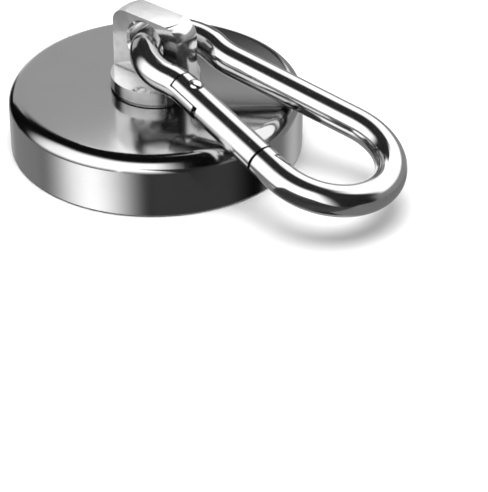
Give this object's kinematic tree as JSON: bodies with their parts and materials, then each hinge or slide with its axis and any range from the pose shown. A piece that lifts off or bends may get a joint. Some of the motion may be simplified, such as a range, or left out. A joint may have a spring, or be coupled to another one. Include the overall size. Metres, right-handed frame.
{
  "type": "magnet fishing magnet",
  "caption": "Round steel pot magnet with a swivelling eye on its back and a sprung snap hook through the eye, for dragging or lifting iron things on a rope.",
  "frame": {"origin": "centre of the pull face, the pot's flat underside", "axes": "+Z along the pot's axis, from the pull face to the eye; the eye's cross hole runs along Y; the snap hook lies towards +X and rests on the pot's rim, with its gate on the -Y side"},
  "size_m": [0.1388, 0.094, 0.0456],
  "materials": {
    "nickel": "mirror-bright nickel plating, slightly dark",
    "magnet": "plated magnet, ground flat, fine scratches",
    "resin": "cast black resin, smooth, slightly glossy",
    "sleeve": "turned and faced brass",
    "bronze": "sintered bearing bronze, matt",
    "steel_washer": "ground spring steel, satin",
    "eye_steel": "machined stainless steel, fine bead-blasted satin",
    "zinc": "bright zinc plating",
    "black_screw": "black oxide on alloy steel, oiled",
    "polished": "polished stainless steel, mirror bright",
    "rivet": "polished stainless steel, domed by the riveting tool",
    "plunger": "hardened steel pin, dark and smooth",
    "spring": "drawn spring wire, satin"
  },
  "bodies": {
    "magnet": {"cup": "nickel", "magnet_ring": "magnet", "outer_potting": "resin", "inner_sleeve": "sleeve", "bore_plug": "resin", "swivel_bush": "bronze", "thrust_washer": "steel_washer"},
    "swivel": {"swivel_eye": "eye_steel", "retaining_washer": "zinc", "lock_washer": "zinc", "swivel_screw": "black_screw"},
    "hook": {"hook_body": "polished", "gate_rivet": "rivet"},
    "gate": {"gate": "polished", "gate_spring": "spring"},
    "plunger": {"gate_plunger": "plunger"}
  },
  "joints": [
    {"name": "swivel_turn", "type": "hinge", "parent": "magnet", "child": "swivel", "pos_m": [0, 0, 0.02], "axis": [0, 0, 1], "continuous": true},
    {"name": "hook_swing", "type": "hinge", "parent": "swivel", "child": "hook", "pos_m": [0, 0, 0.0368], "axis": [0, -1, 0], "range_deg": [0, 210]},
    {"name": "gate_open", "type": "hinge", "parent": "hook", "child": "gate", "pos_m": [0.02555, -0.01129, 0.03003], "axis": [0.2603, 0.01, 0.9655], "range_deg": [0, 22], "stiffness_Nm_per_rad": 0.15, "springref_deg": -34.38},
    {"name": "plunger_slide", "type": "slide", "parent": "gate", "child": "plunger", "axis": [0.9558, -0.1439, -0.2562], "range_m": [0, 0.0008], "deforming": ["gate_spring"]}
  ],
  "couplings": [
    {"joint": "plunger_slide", "follows": "gate_open", "m_per_rad": 0.00197}
  ]
}
